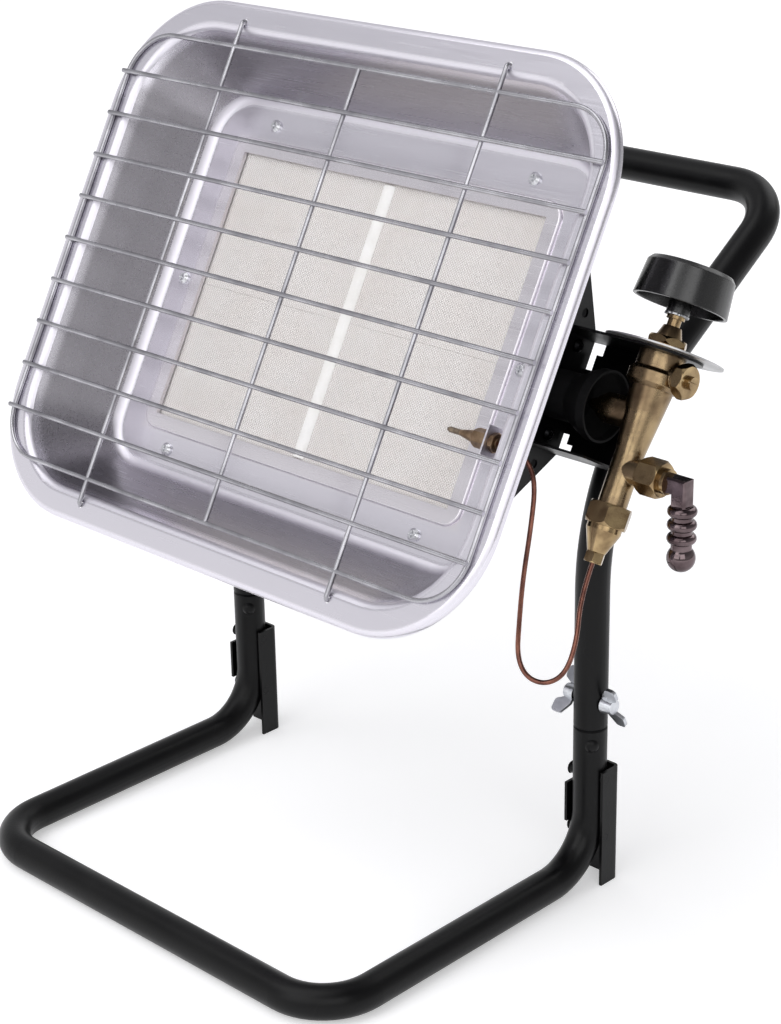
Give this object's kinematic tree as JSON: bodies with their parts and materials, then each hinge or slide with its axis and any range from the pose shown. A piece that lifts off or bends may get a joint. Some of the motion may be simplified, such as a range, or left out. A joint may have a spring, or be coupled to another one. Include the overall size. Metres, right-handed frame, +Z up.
{
  "type": "portable gas heater",
  "caption": "Portable radiant gas heater: tilting ceramic burner head in a pressed reflector with a wire guard, side valve and knob, on a bent-tube floor stand.",
  "frame": {"origin": "on the floor, at the middle of the whole heater's footprint box", "axes": "+X to the right of a viewer who faces the reflector, +Y to the rear, +Z up"},
  "size_m": [0.4778, 0.451, 0.5392],
  "materials": {
    "black_tube": "satin black powder coat",
    "black_sheet": "satin black powder coat",
    "zinc": "bright zinc plate",
    "reflector_steel": "bright pressed steel",
    "guard_wire": "bright plated wire",
    "plaque": "perforated cream ceramic",
    "cement": "white refractory cement",
    "fibre": "pressed fibre",
    "burner_steel": "aluminised steel",
    "heat_black": "heat-resisting matt black",
    "black_oxide": "black oxide",
    "brass": "cast and turned brass, slightly aged",
    "nickel": "nickel plate",
    "copper": "drawn copper",
    "dial": "satin aluminium",
    "knob": "black moulded plastic",
    "steel": "plain steel"
  },
  "bodies": {
    "stand": {"base_tube": "black_tube", "left_foot_channel": "black_sheet", "right_foot_channel": "black_sheet", "foot_rivets": "black_sheet", "left_spigot": "steel", "right_spigot": "steel", "spigot_rivets": "black_sheet", "upper_frame": "black_tube", "left_wing_nut": "zinc", "right_wing_nut": "zinc", "pivot_bolts": "zinc", "pivot_bushes": "zinc", "pivot_nuts": "zinc"},
    "head": {"reflector": "reflector_steel", "grille": "guard_wire", "upper_left_plaque": "plaque", "upper_right_plaque": "plaque", "lower_left_plaque": "plaque", "lower_right_plaque": "plaque", "cement_strip": "cement", "gasket": "fibre", "burner_frame": "burner_steel", "plenum": "heat_black", "mixing_tube": "heat_black", "head_yoke": "black_sheet", "reflector_screws": "zinc", "reflector_nuts": "zinc", "valve_bracket": "black_sheet", "bracket_screws": "black_oxide", "valve_body": "brass", "bonnet_nut": "brass", "dial_plate": "dial", "side_plug": "brass", "injector": "brass", "inlet_nut": "brass", "hose_tail": "nickel", "union_nut": "brass", "thermocouple_union": "brass", "lead_nut": "brass", "thermocouple_probe": "steel", "thermocouple_body": "brass", "thermocouple_nut": "brass", "thermocouple_clamp": "zinc", "thermocouple_lead": "copper"},
    "push": {"valve_plunger": "steel"},
    "knob": {"control_stem": "brass", "stem_clip": "zinc", "control_knob": "knob"},
    "left_wing": {"left_wing_bolt": "zinc"},
    "right_wing": {"right_wing_bolt": "zinc"}
  },
  "joints": [
    {"name": "head_tilt", "type": "hinge", "parent": "stand", "child": "head", "pos_m": [-0.0259, 0.06279, 0.30896], "axis": [-1, 0, 0], "range_deg": [-29, 35]},
    {"name": "knob_press", "type": "slide", "parent": "head", "child": "push", "axis": [0, -0.4863, -0.8738], "range_m": [0, 0.004], "stiffness_N_per_m": 1500, "springref_m": -0.003},
    {"name": "knob_turn", "type": "hinge", "parent": "push", "child": "knob", "pos_m": [0.1876, 0.03678, 0.39691], "axis": [0, 0.4863, 0.8738], "range_deg": [0, 210]},
    {"name": "left_wing_turn", "type": "hinge", "parent": "stand", "child": "left_wing", "pos_m": [-0.1859, 0.02649, 0.1295], "axis": [-1, 0, 0], "continuous": true},
    {"name": "right_wing_turn", "type": "hinge", "parent": "stand", "child": "right_wing", "pos_m": [0.1341, 0.02649, 0.1295], "axis": [1, 0, 0], "continuous": true}
  ]
}
